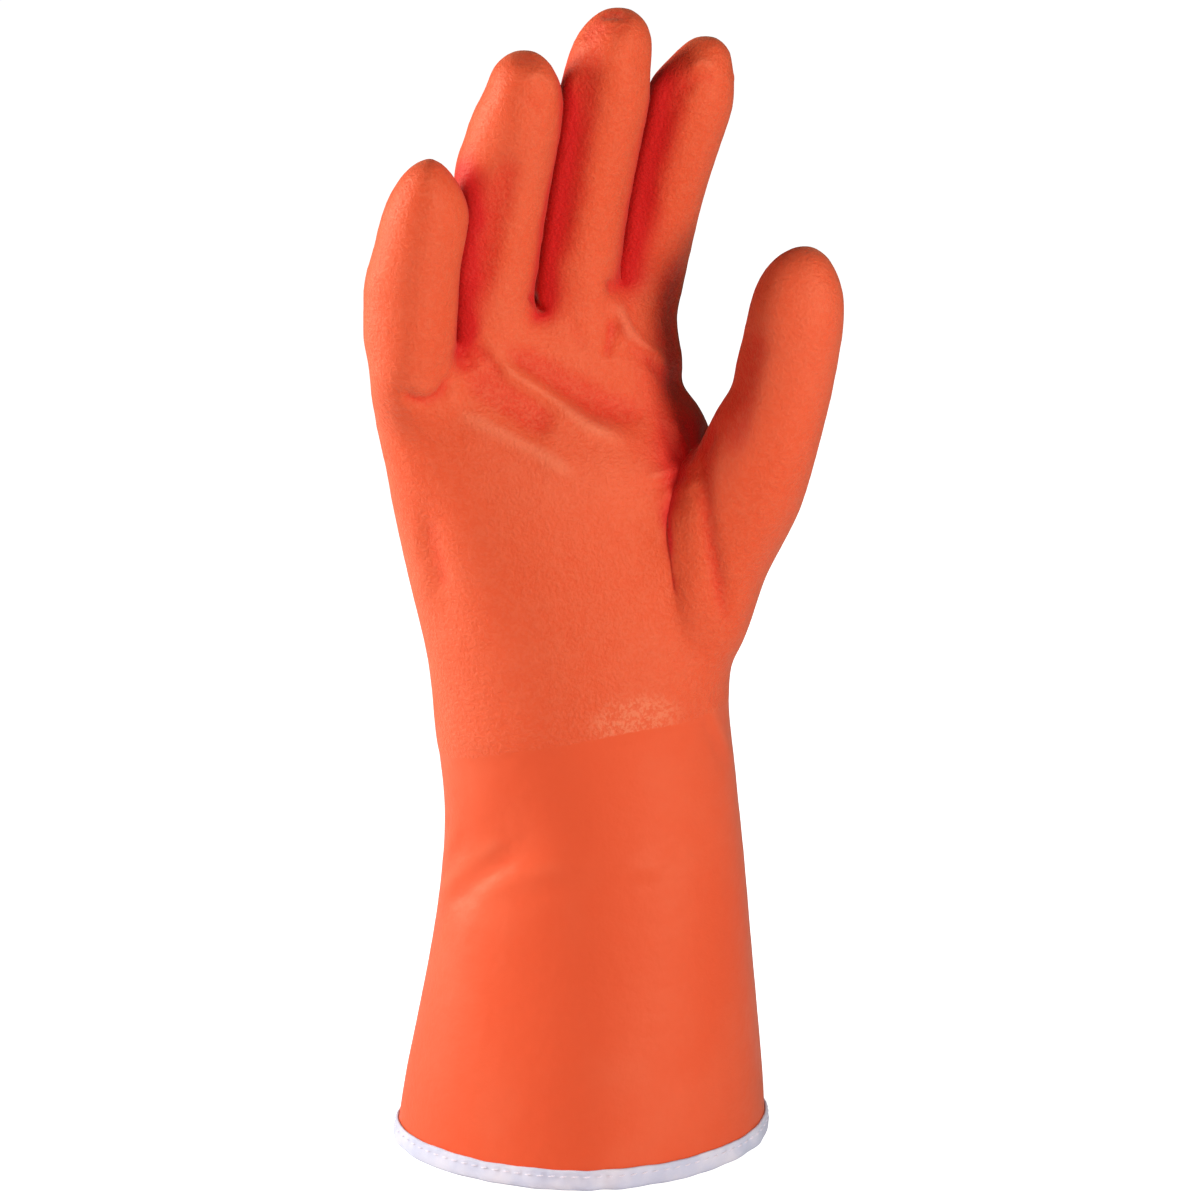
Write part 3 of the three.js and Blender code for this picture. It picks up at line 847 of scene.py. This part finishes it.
def math_node(tree, operation, first, second=None, third=None):
    """A sum of two or three numbers or sockets."""
    made = node(tree, "ShaderNodeMath", operation=operation)
    for socket, value in zip(made.inputs, (first, second, third)):
        if value is None:
            continue
        if isinstance(value, (int, float)):
            socket.default_value = value
        else:
            tree.links.new(value, socket)
    return made.outputs[0]


def map_range(tree, value, low, high, to_low=0.0, to_high=1.0, smooth=True):
    """Turns one range of a value into another, and holds it there."""
    made = node(tree, "ShaderNodeMapRange", interpolation_type="SMOOTHSTEP" if smooth else "LINEAR")
    tree.links.new(value, made.inputs["Value"])
    for key, number in (("From Min", low), ("From Max", high), ("To Min", to_low), ("To Max", to_high)):
        made.inputs[key].default_value = number
    return made.outputs["Result"]


def mix_colour(tree, share, first, second):
    """A share of the second colour over the first."""
    made = node(tree, "ShaderNodeMix", data_type="RGBA")
    for socket, value in ((made.inputs[0], share), (made.inputs[6], first), (made.inputs[7], second)):
        if isinstance(value, (int, float)):
            socket.default_value = value
        elif isinstance(value, (tuple, list)):
            socket.default_value = (*value, 1.0)
        else:
            tree.links.new(value, socket)
    return made.outputs[2]


def raise_surface(tree, shader, height, strength, distance):
    """Lets a height stand out of the surface by a distance in metres."""
    bump = node(tree, "ShaderNodeBump", {"Strength": strength, "Distance": distance})
    tree.links.new(height, bump.inputs["Height"])
    tree.links.new(bump.outputs["Normal"], shader.inputs["Normal"])


def grain(tree, place, per_metre):
    """The shared grain at a place, so many grains per metre."""
    made = node(tree, "ShaderNodeGroup", node_tree=grain_group())
    made.inputs["Grains per metre"].default_value = per_metre
    tree.links.new(place, made.inputs["Place"])
    return made


def grain_group():
    """Fine grain of a surface: a height and a mask, at so many grains per metre."""
    existing = bpy.data.node_groups.get("fine_grain")
    if existing:
        return existing
    group = bpy.data.node_groups.new("fine_grain", "ShaderNodeTree")
    group.interface.new_socket("Place", in_out="INPUT", socket_type="NodeSocketVector")
    per_metre = group.interface.new_socket("Grains per metre", in_out="INPUT", socket_type="NodeSocketFloat")
    per_metre.default_value = 1500.0
    group.interface.new_socket("Height", in_out="OUTPUT", socket_type="NodeSocketFloat")
    group.interface.new_socket("Mask", in_out="OUTPUT", socket_type="NodeSocketFloat")
    start = group.nodes.new("NodeGroupInput")
    end = group.nodes.new("NodeGroupOutput")
    place = start.outputs["Place"]
    fine = texture(group, "ShaderNodeTexNoise", place, {"Detail": 3.0, "Roughness": 0.6})
    group.links.new(start.outputs["Grains per metre"], fine.inputs["Scale"])
    coarse = texture(group, "ShaderNodeTexNoise", place, {"Detail": 2.0, "Roughness": 0.5})
    slower = math_node(group, "MULTIPLY", start.outputs["Grains per metre"], 0.37)
    group.links.new(slower, coarse.inputs["Scale"])
    low_grain = math_node(group, "MULTIPLY", coarse.outputs["Fac"], 0.35)
    height = math_node(group, "MULTIPLY_ADD", fine.outputs["Fac"], 0.65, low_grain)
    group.links.new(height, end.inputs["Height"])
    group.links.new(map_range(group, height, 0.42, 0.6), end.inputs["Mask"])
    return group


def dusty_patch(tree, place, over, grip, sand):
    """Mask of the rubbed, pale patch on the palm side, just over the grip line."""
    split = node(tree, "ShaderNodeSeparateXYZ")
    tree.links.new(place, split.inputs[0])
    across = math_node(tree, "SUBTRACT", split.outputs["X"], PATCH_PLACE)
    across = math_node(tree, "DIVIDE", across, PATCH_REACH)
    up = math_node(tree, "SUBTRACT", over, PATCH_HEIGHT)
    up = math_node(tree, "DIVIDE", up, PATCH_RISE)
    away = math_node(tree, "MULTIPLY_ADD", across, across, math_node(tree, "MULTIPLY", up, up))
    patch = map_range(tree, away, 0.1, 1.25, 1.0, 0.0)
    palm_side = map_range(tree, split.outputs["Y"], -0.012, -0.018)
    patch = math_node(tree, "MULTIPLY", math_node(tree, "MULTIPLY", patch, palm_side), grip)
    return math_node(tree, "MULTIPLY", patch, map_range(tree, sand, 0.44, 0.58, 0.15, 1.0))


def vinyl_material(settings):
    """Orange dipped vinyl: smooth and satin on the cuff, sandy on the hand."""
    material, tree, shader = new_material("orange_vinyl")
    pale = tuple(settings.vinyl_pale)
    place = node(tree, "ShaderNodeTexCoord").outputs["Object"]
    over = attribute(tree, "over_grip_line")
    wobble = texture(tree, "ShaderNodeTexNoise", place, {"Scale": 420.0, "Detail": 4.0, "Roughness": 0.65})
    edge = math_node(tree, "ADD", over, math_node(tree, "MULTIPLY_ADD", wobble.outputs["Fac"], 1.6, -0.8))
    grip = map_range(tree, edge, -0.25, 0.35)
    sand = grain(tree, place, 1150.0)
    film = grain(tree, place, 240.0)
    dusty = dusty_patch(tree, place, over, grip, sand.outputs["Height"])

    cloud = texture(tree, "ShaderNodeTexNoise", place, {"Scale": 26.0, "Detail": 3.0, "Roughness": 0.55})
    pale_share = map_range(tree, cloud.outputs["Fac"], 0.42, 0.72, 0.0, 0.28)
    colour = mix_colour(tree, pale_share, tuple(settings.vinyl), pale)
    # Painted shade in the folds' valleys and painted highlight on their ridges, by how far each fold is
    # pressed in or raised
    fold = attribute(tree, "fold")
    colour = mix_colour(tree, map_range(tree, fold, -0.1, -1.3, 0.0, 0.75), colour, VALLEY_PAINTED_SHADE)
    colour = mix_colour(tree, map_range(tree, fold, 0.12, 1.0, 0.0, 0.6), colour, RIDGE_PAINTED_HIGHLIGHT)
    speckle = math_node(tree, "MULTIPLY", sand.outputs["Mask"], math_node(tree, "MULTIPLY", grip, 0.30))
    colour = mix_colour(tree, speckle, colour, pale)
    # Painted shade: the deep colour is mixed in by the depth of the creases and by how closed in each place is
    # between the fingers
    crease = map_range(tree, attribute(tree, "hollow"), 0.15, 1.2, 0.0, 0.6)
    shelter_shade = map_range(tree, attribute(tree, "shelter_shade"), 0.08, 0.44, 0.0, 0.97)
    colour = mix_colour(tree, math_node(tree, "MAXIMUM", crease, shelter_shade), colour, tuple(settings.vinyl_painted_shade))
    colour = mix_colour(tree, math_node(tree, "MULTIPLY", dusty, 0.32), colour, DUST_COLOUR)
    tree.links.new(colour, shader.inputs["Base Color"])

    rough = map_range(tree, film.outputs["Height"], 0.35, 0.65, 0.40, 0.47)
    rough = math_node(tree, "ADD", rough, math_node(tree, "MULTIPLY", grip, 0.08))
    rough = math_node(tree, "ADD", rough, math_node(tree, "MULTIPLY", dusty, 0.15))
    tree.links.new(rough, shader.inputs["Roughness"])

    relief = math_node(tree, "SUBTRACT", sand.outputs["Height"], 0.5)
    relief = math_node(tree, "MULTIPLY", relief, map_range(tree, edge, -0.25, 0.35, 0.05, 1.0))
    relief = math_node(tree, "MULTIPLY", relief, math_node(tree, "MULTIPLY_ADD", dusty, 0.2, 1.0))
    relief = math_node(tree, "MULTIPLY_ADD", film.outputs["Height"], 0.45, relief)
    raise_surface(tree, shader, relief, 1.0, 0.00055)
    shader.inputs["Specular IOR Level"].default_value = 0.4
    shader.inputs["Specular Tint"].default_value = (0.95, 0.66, 0.42, 1.0)
    shader.inputs["IOR"].default_value = 1.47
    shader.inputs["Sheen Weight"].default_value = 0.24
    shader.inputs["Sheen Roughness"].default_value = 0.45
    shader.inputs["Sheen Tint"].default_value = (1.0, 0.66, 0.42, 1.0)
    shader.inputs["Subsurface Weight"].default_value = 0.12
    shader.inputs["Subsurface Radius"].default_value = (1.0, 0.28, 0.12)
    shader.inputs["Subsurface Scale"].default_value = 0.0016
    return material


def inside_material(settings):
    """The inside of the vinyl: dull, with the print of its textile base."""
    material, tree, shader = new_material("orange_vinyl_inside")
    place = node(tree, "ShaderNodeTexCoord").outputs["Object"]
    stripes = {"Scale": 260.0, "Distortion": 1.5, "Detail": 2.0}
    knit = texture(tree, "ShaderNodeTexWave", place, stripes, bands_direction="Z").outputs["Fac"]
    cloud = texture(tree, "ShaderNodeTexNoise", place, {"Scale": 60.0, "Detail": 3.0}).outputs["Fac"]
    print_share = map_range(tree, knit, 0.2, 0.8, 0.15, 0.55)
    colour = mix_colour(tree, print_share, tuple(settings.vinyl), (0.82, 0.36, 0.24))
    pale_share = map_range(tree, cloud, 0.4, 0.7, 0.0, 0.3)
    colour = mix_colour(tree, pale_share, colour, tuple(settings.vinyl_pale))
    tree.links.new(colour, shader.inputs["Base Color"])
    tree.links.new(map_range(tree, cloud, 0.3, 0.7, 0.8, 0.92), shader.inputs["Roughness"])
    raise_surface(tree, shader, knit, 0.6, 0.0002)
    return material


def tape_material(settings):
    """White woven tape, on its own map: U along the tape, V across it, in mm."""
    material, tree, shader = new_material("white_tape")
    along = node(tree, "ShaderNodeUVMap", uv_map="tape").outputs["UV"]
    split = node(tree, "ShaderNodeSeparateXYZ")
    tree.links.new(along, split.inputs[0])
    warp = math_node(tree, "SINE", math_node(tree, "MULTIPLY", split.outputs["X"], FULL_TURN / WARP_PITCH))
    weft = math_node(tree, "SINE", math_node(tree, "MULTIPLY", split.outputs["Y"], FULL_TURN / WEFT_PITCH))
    weave = math_node(tree, "MULTIPLY", warp, weft)
    noise = {"Scale": 2.6, "Detail": 4.0, "Roughness": 0.65}
    fuzz = texture(tree, "ShaderNodeTexNoise", along, noise).outputs["Fac"]
    cloud = texture(tree, "ShaderNodeTexNoise", along, {"Scale": 0.11, "Detail": 3.0}).outputs["Fac"]
    worn_share = map_range(tree, cloud, 0.35, 0.7, 0.0, 0.5)
    colour = mix_colour(tree, worn_share, tuple(settings.cloth), (0.83, 0.82, 0.88))
    shade = map_range(tree, weave, -1.0, 1.0, 0.0, 0.1, smooth=False)
    colour = mix_colour(tree, shade, colour, (0.55, 0.52, 0.66))
    colour = mix_colour(tree, map_range(tree, fuzz, 0.55, 0.75, 0.0, 0.25), colour, (0.9, 0.89, 0.93))
    tree.links.new(colour, shader.inputs["Base Color"])
    tree.links.new(map_range(tree, fuzz, 0.3, 0.7, 0.82, 0.95), shader.inputs["Roughness"])
    relief = math_node(tree, "MULTIPLY_ADD", fuzz, 0.8, math_node(tree, "MULTIPLY", weave, 0.35))
    raise_surface(tree, shader, relief, 0.8, 0.00012)
    shader.inputs["Sheen Weight"].default_value = 0.25
    shader.inputs["Sheen Roughness"].default_value = 0.5
    return material


def thread_material(settings):
    """White twisted thread."""
    material, tree, shader = new_material("white_thread")
    place = node(tree, "ShaderNodeTexCoord").outputs["Object"]
    stripes = {"Scale": 900.0, "Distortion": 0.6, "Detail": 1.0}
    twist = texture(tree, "ShaderNodeTexWave", place, stripes, bands_direction="DIAGONAL").outputs["Fac"]
    shade = map_range(tree, twist, 0.1, 0.9, 0.0, 0.35)
    colour = mix_colour(tree, shade, tuple(settings.thread_colour), (0.55, 0.52, 0.64))
    tree.links.new(colour, shader.inputs["Base Color"])
    tree.links.new(map_range(tree, twist, 0.0, 1.0, 0.55, 0.7), shader.inputs["Roughness"])
    raise_surface(tree, shader, twist, 0.7, 0.00008)
    return material


# Tape and stitches

# Steps round the cuff: as its edge is measured, and as the tape is laid
RING_STEPS = 1440
TAPE_STEPS = 840
# Waves round the cuff that its measured edge keeps, so that the mesh's own unevenness goes
WAVES_KEPT = 40
# Heights that the cuff's flare is measured between, and how near to them a vertex has to be
LOW_RING = 0.0022
HIGH_RING = 0.0075
RING_BAND = 0.0009
# Gap between skin and tape
TAPE_GAP = 0.00012
# How far each stitch pulls the tape in, and how far above and below it that is felt
STITCH_PULL = 0.00016
STITCH_PULL_REACH = 0.0011
# A stitch: its share of the pitch, the height of its arch, and its lean in radians
STITCH_SHARE = 0.62
STITCH_ARCH = 0.00016
STITCH_LEAN = 0.16


def radius_at(places, centre, height, angles):
    """Distance of the skin from the cuff's middle line, at a height and at some angles."""
    near = places[np.abs(places[:, 2] - height) < RING_BAND]
    away = near[:, :2] - centre
    turn = np.arctan2(away[:, 1], away[:, 0])
    size = np.linalg.norm(away, axis=1)
    order = np.argsort(turn)
    radius = np.interp(angles, turn[order], size[order], period=FULL_TURN)
    spectrum = np.fft.rfft(radius)
    spectrum[WAVES_KEPT:] = 0
    return np.fft.irfft(spectrum, len(radius))


def hem_course():
    """The cuff's edge in even steps: places, outward directions, flare per metre, run, whole length."""
    shell = bpy.data.objects["glove_skin"].data
    places = places_of(shell)
    outer = np.zeros(len(places), bool)
    for polygon in shell.polygons:
        if polygon.material_index == 0:
            outer[list(polygon.vertices)] = True
    places = places[outer]
    ring = places[np.abs(places[:, 2] - LOW_RING) < RING_BAND]
    centre = (ring[:, :2].min(0) + ring[:, :2].max(0)) / 2
    angles = np.linspace(-math.pi, math.pi, RING_STEPS + 1)[:-1]
    wide = radius_at(places, centre, LOW_RING, angles)
    narrow = radius_at(places, centre, HIGH_RING, angles)
    direction = np.column_stack((np.cos(angles), np.sin(angles)))
    course = centre + direction * wide[:, None]
    gaps = np.linalg.norm(np.roll(course, -1, axis=0) - course, axis=1)
    run = np.concatenate(([0.0], np.cumsum(gaps)))
    wanted = np.linspace(0, run[-1], TAPE_STEPS + 1)[:-1]
    turn = np.interp(wanted, run, np.append(angles, math.pi))
    size = np.interp(turn, angles, wide, period=FULL_TURN)
    slope = (np.interp(turn, angles, narrow, period=FULL_TURN) - size) / (HIGH_RING - LOW_RING)
    course = centre + np.column_stack((np.cos(turn), np.sin(turn))) * size[:, None]
    tangent = np.roll(course, -1, axis=0) - np.roll(course, 1, axis=0)
    tangent /= np.linalg.norm(tangent, axis=1)[:, None]
    outward = np.column_stack((tangent[:, 1], -tangent[:, 0]))
    return course, outward, slope, wanted, run[-1]


def tape_section(settings, wall):
    """The folded tape's section as (offset from the skin, height), from its outer top edge round and back."""
    thick, height = settings.thickness, settings.height
    out, inn = TAPE_GAP, -wall - TAPE_GAP
    rows = [
        (out + 0.00002, height - 0.00050),
        (out + 0.10 * thick, height - 0.00012),
        (out + 0.42 * thick, height),
        (out + 0.75 * thick, height - 0.00010),
        (out + 0.95 * thick, height - 0.00045),
        (out + 1.02 * thick, height - 0.00100),
        (out + 1.02 * thick, height - 0.00160),
        (out + 1.10 * thick, height - 0.00240),
        (out + 1.26 * thick, height - 0.00320),
        (out + 1.30 * thick, height - 0.00390),
        (out + 1.22 * thick, height - 0.00450),
        (out + 0.98 * thick, height - 0.00505),
        (out + 0.50 * thick, height - 0.00542),
        (out - 0.10 * thick, height - 0.00558),
    ]
    inner = [(inn + out - offset, level) for offset, level in reversed(rows)]
    low, high = 0.0010, height - 0.00100
    lining = [(inn - 0.00002, high), (inn, low), (out, low), (out + 0.00002, high)]
    return rows + inner + lining


def lay_tape(settings, wall):
    """The tape round the edge: pulled in at each stitch, its fold a little uneven."""
    course, outward, slope, run, total = hem_course()
    section = tape_section(settings, wall)
    turn = FULL_TURN * run / total
    stitch = np.cos(turn * round(total / settings.stitch_pitch))
    slow = 0.00010 * np.sin(turn * 11) + 0.00007 * np.sin(turn * 29 + 1.3)
    model = bmesh.new()
    loops = []
    for offset, height in section:
        outer = 1.0 if offset > -wall / 2 else -1.0
        near_row = math.exp(-(((height - settings.stitch_height) / STITCH_PULL_REACH) ** 2))
        top = height / settings.height
        pull = STITCH_PULL * near_row * (0.5 + 0.5 * stitch)
        away = offset + slope * (height - LOW_RING) - outer * pull
        level = np.maximum(height + slow * top + 0.00005 * stitch * top * near_row, 0.0)
        line = np.column_stack((course + outward * away[:, None], level))
        loops.append([model.verts.new(place) for place in line])
    lengths = [0.0]
    for corner, following in zip(section, section[1:] + section[:1]):
        lengths.append(lengths[-1] + math.dist(corner, following))
    layer = model.loops.layers.uv.new("tape")
    for row, loop in enumerate(loops):
        above = loops[(row + 1) % len(loops)]
        low, high = lengths[row], lengths[row + 1]
        for step in range(TAPE_STEPS):
            ahead = (step + 1) % TAPE_STEPS
            face = model.faces.new((loop[step], above[step], above[ahead], loop[ahead]))
            face.smooth = True
            first, last = run[step], run[ahead] if ahead else total
            corners = ((first, low), (first, high), (last, high), (last, low))
            for corner, (u, v) in zip(face.loops, corners):
                corner[layer].uv = (u / MM, v / MM)
    bmesh.ops.recalc_face_normals(model, faces=model.faces)
    mesh = bpy.data.meshes.new("hem_tape")
    model.to_mesh(mesh)
    model.free()
    return new_piece("hem_tape", mesh)


def one_stitch(settings):
    """One stitch: a short thread, arched, with rounded ends, along X."""
    bpy.ops.object.select_all(action="DESELECT")
    bpy.ops.mesh.primitive_uv_sphere_add(segments=8, ring_count=8, radius=settings.thread / 2)
    stitch = bpy.context.object
    stitch.name = "stitch"
    length = settings.stitch_pitch * STITCH_SHARE
    for vertex in stitch.data.vertices:
        share = vertex.co.z / (settings.thread / 2)
        arch = (1 - share * share) * STITCH_ARCH
        vertex.co = Vector((share * length / 2, vertex.co.y + arch, vertex.co.x))
    stitch.data.flip_normals()
    bpy.ops.object.shade_smooth()
    return stitch


def lay_stitches(settings, wall):
    """Two rows of stitches, one outside the cuff and one inside it."""
    course, outward, slope, run, total = hem_course()
    count = round(total / settings.stitch_pitch)
    pattern = one_stitch(settings)
    up = Vector((0, 0, 1))
    on_tape = settings.thickness * 1.04
    copies = []
    for number in range(count):
        at = (number + 0.5) * total / count
        place = np.array([np.interp(at, run, course[:, axis], period=total) for axis in (0, 1)])
        out = np.array([np.interp(at, run, outward[:, axis], period=total) for axis in (0, 1)])
        out /= np.linalg.norm(out)
        flare = np.interp(at, run, slope, period=total) * (settings.stitch_height - LOW_RING)
        along = Vector((-out[1], out[0], 0.0))
        for side, offset in ((1.0, on_tape), (-1.0, -wall - on_tape)):
            middle = Vector((*(place + out * (offset + flare)), settings.stitch_height))
            away = Vector((out[0], out[1], 0.0)) * side
            stitch = new_piece("stitch_copy", pattern.data.copy())
            for vertex in stitch.data.vertices:
                x, y, z = vertex.co
                run_along = x * math.cos(STITCH_LEAN) - z * math.sin(STITCH_LEAN)
                rise = x * math.sin(STITCH_LEAN) + z * math.cos(STITCH_LEAN)
                vertex.co = middle + along * run_along + up * rise + away * y
            copies.append(stitch)
    bpy.data.objects.remove(pattern)
    bpy.ops.object.select_all(action="DESELECT")
    for stitch in copies:
        stitch.select_set(True)
    bpy.context.view_layer.objects.active = copies[0]
    bpy.ops.object.join()
    stitches = bpy.context.object
    stitches.name = "hem_stitches"
    select_only(stitches)
    bpy.ops.object.mode_set(mode="EDIT")
    bpy.ops.mesh.select_all(action="SELECT")
    bpy.ops.mesh.normals_make_consistent(inside=False)
    bpy.ops.object.mode_set(mode="OBJECT")
    bpy.ops.object.shade_smooth()
    return stitches


# Operators

# Place that the softboxes face, and their colours
LIGHT_AIM = (0, 0, 0.16)
WHITE = (1.0, 1.0, 1.0)
WARM_WHITE = (1.0, 0.97, 0.92)
ROSE = (1.0, 0.62, 0.52)


class GLOVE_OT_camera(bpy.types.Operator):
    """Put the camera where the picture was taken from"""

    bl_idname = "glove.camera"
    bl_label = "Camera"

    def execute(self, context):
        data = bpy.data.cameras.new("camera")
        data.sensor_width = 36.0
        data.lens = 18.0 / math.tan(CAMERA_ANGLE / 2)
        data.clip_start, data.clip_end = 0.05, 30.0
        camera = new_piece("camera", data)
        camera.location = CAMERA_PLACE
        camera.rotation_euler = (CAMERA_TARGET - CAMERA_PLACE).to_track_quat("-Z", "Y").to_euler()
        context.scene.camera = camera
        return {"FINISHED"}


class GLOVE_OT_shell(bpy.types.Operator):
    """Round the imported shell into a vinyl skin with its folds, grip line and inner wall"""

    bl_idname = "glove.shell"
    bl_label = "Glove skin"

    def execute(self, context):
        settings = context.scene.glove_shell
        skin = rounded_skin("glove_skin", settings.mesh_size, settings)
        close_gaps(skin.data)
        raise_swells(skin.data)
        press_folds(skin.data)
        put_places(skin.data, relax(places_of(skin.data), edges_of(skin.data), 1))
        step_at_grip_line(skin.data)
        trim_below(skin, settings.edge_height)
        skin.data.materials.clear()
        skin.data.materials.append(vinyl_material(settings))
        skin.data.materials.append(inside_material(settings))
        add_inner_wall(skin, settings)
        mark_skin(skin.data)
        mark_shelter(skin.data)
        select_only(skin)
        bpy.ops.object.shade_smooth()
        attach(skin, "root")
        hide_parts("glove_shell")
        return {"FINISHED"}


class GLOVE_OT_tape(bpy.types.Operator):
    """Fold the white tape over the edge of the cuff"""

    bl_idname = "glove.tape"
    bl_label = "Hem tape"

    def execute(self, context):
        settings = context.scene.glove_tape
        tape = lay_tape(settings, context.scene.glove_shell.wall)
        tape.data.materials.append(tape_material(settings))
        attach(tape, "root")
        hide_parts("hem_binding")
        return {"FINISHED"}


class GLOVE_OT_stitches(bpy.types.Operator):
    """Sew the tape down with a row of stitches"""

    bl_idname = "glove.stitches"
    bl_label = "Stitches"

    def execute(self, context):
        settings = context.scene.glove_tape
        stitches = lay_stitches(settings, context.scene.glove_shell.wall)
        stitches.data.materials.clear()
        stitches.data.materials.append(thread_material(settings))
        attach(stitches, "root")
        return {"FINISHED"}


def softbox(name, place, size, power, colour):
    """A rectangle of soft light, turned to the middle of the glove."""
    data = bpy.data.lights.new(name, "AREA")
    data.shape = "RECTANGLE"
    data.size, data.size_y = size
    data.energy = power
    data.color = colour
    light = new_piece(name, data)
    light.location = place
    light.rotation_euler = (Vector(LIGHT_AIM) - Vector(place)).to_track_quat("-Z", "Y").to_euler()


class GLOVE_OT_stage(bpy.types.Operator):
    """Lay the pale floor and set the softboxes"""

    bl_idname = "glove.stage"
    bl_label = "Stage"

    def execute(self, context):
        settings = context.scene.glove_stage
        bpy.ops.object.select_all(action="DESELECT")
        bpy.ops.mesh.primitive_plane_add(size=14.0, location=(0, 0, 0))
        floor = context.object
        floor.name = "floor"
        material, tree, shader = new_material("pale_floor")
        place = node(tree, "ShaderNodeTexCoord").outputs["Object"]
        cloud = texture(tree, "ShaderNodeTexNoise", place, {"Scale": 3.0, "Detail": 2.0}).outputs["Fac"]
        tint = tuple(settings.floor)
        darker = tuple(value * 0.97 for value in tint)
        colour = mix_colour(tree, map_range(tree, cloud, 0.3, 0.7, 0.0, 0.04), tint, darker)
        tree.links.new(colour, shader.inputs["Base Color"])
        shader.inputs["Roughness"].default_value = 0.8
        shader.inputs["Specular IOR Level"].default_value = 0.1
        seen = node(tree, "ShaderNodeLightPath").outputs["Is Camera Ray"]
        glow = mix_colour(tree, seen, (0.02, 0.02, 0.02), WHITE)
        tree.links.new(glow, shader.inputs["Emission Color"])
        shader.inputs["Emission Strength"].default_value = 1.0
        floor.data.materials.append(material)
        softbox("left_softbox", (-1.0, 0.02, 0.38), (0.25, 0.5), settings.left_light, WARM_WHITE)
        softbox("right_softbox", (0.68, -0.76, 0.36), (0.25, 0.45), settings.right_light, WARM_WHITE)
        softbox("front_softbox", (-0.25, -1.3, 0.7), (0.8, 0.6), settings.front_light, ROSE)
        world = bpy.data.worlds.new("pale_surround")
        world.use_nodes = True
        tree = world.node_tree
        seen = node(tree, "ShaderNodeLightPath").outputs["Is Camera Ray"]
        dim = (settings.surround,) * 3
        tree.links.new(mix_colour(tree, seen, dim, WHITE), tree.nodes["Background"].inputs["Color"])
        context.scene.world = world
        context.scene.view_settings.view_transform = "Standard"
        return {"FINISHED"}


class GLOVE_PT_panel(bpy.types.Panel):
    """Sizes, colours and buttons of the glove"""

    bl_idname = "GLOVE_PT_panel"
    bl_label = "Dipped work glove"
    bl_space_type = "VIEW_3D"
    bl_region_type = "UI"
    bl_category = "Glove"

    def draw(self, context):
        scene = context.scene
        for title, group, operators in (
            ("Skin", scene.glove_shell, ("glove.shell",)),
            ("Hem tape", scene.glove_tape, ("glove.tape", "glove.stitches")),
            ("Stage", scene.glove_stage, ("glove.camera", "glove.stage")),
        ):
            box = self.layout.box()
            box.label(text=title)
            for name in group.__annotations__:
                box.prop(group, name)
            for operator in operators:
                box.operator(operator)


CLASSES = (
    GLOVE_PG_shell,
    GLOVE_PG_tape,
    GLOVE_PG_stage,
    GLOVE_OT_camera,
    GLOVE_OT_shell,
    GLOVE_OT_tape,
    GLOVE_OT_stitches,
    GLOVE_OT_stage,
    GLOVE_PT_panel,
)


def register():
    """Adds the classes and the scene's three groups of settings."""
    for item in CLASSES:
        bpy.utils.register_class(item)
    bpy.types.Scene.glove_shell = PointerProperty(type=GLOVE_PG_shell)
    bpy.types.Scene.glove_tape = PointerProperty(type=GLOVE_PG_tape)
    bpy.types.Scene.glove_stage = PointerProperty(type=GLOVE_PG_stage)


def unregister():
    """Takes them away again."""
    del bpy.types.Scene.glove_stage
    del bpy.types.Scene.glove_tape
    del bpy.types.Scene.glove_shell
    for item in reversed(CLASSES):
        bpy.utils.unregister_class(item)


def main():
    """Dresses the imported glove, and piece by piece."""
    register()
    bpy.ops.glove.camera()
    bpy.ops.glove.shell()
    bpy.ops.glove.tape()
    bpy.ops.glove.stitches()
    bpy.ops.glove.stage()


if __name__ == "__main__":
    main()
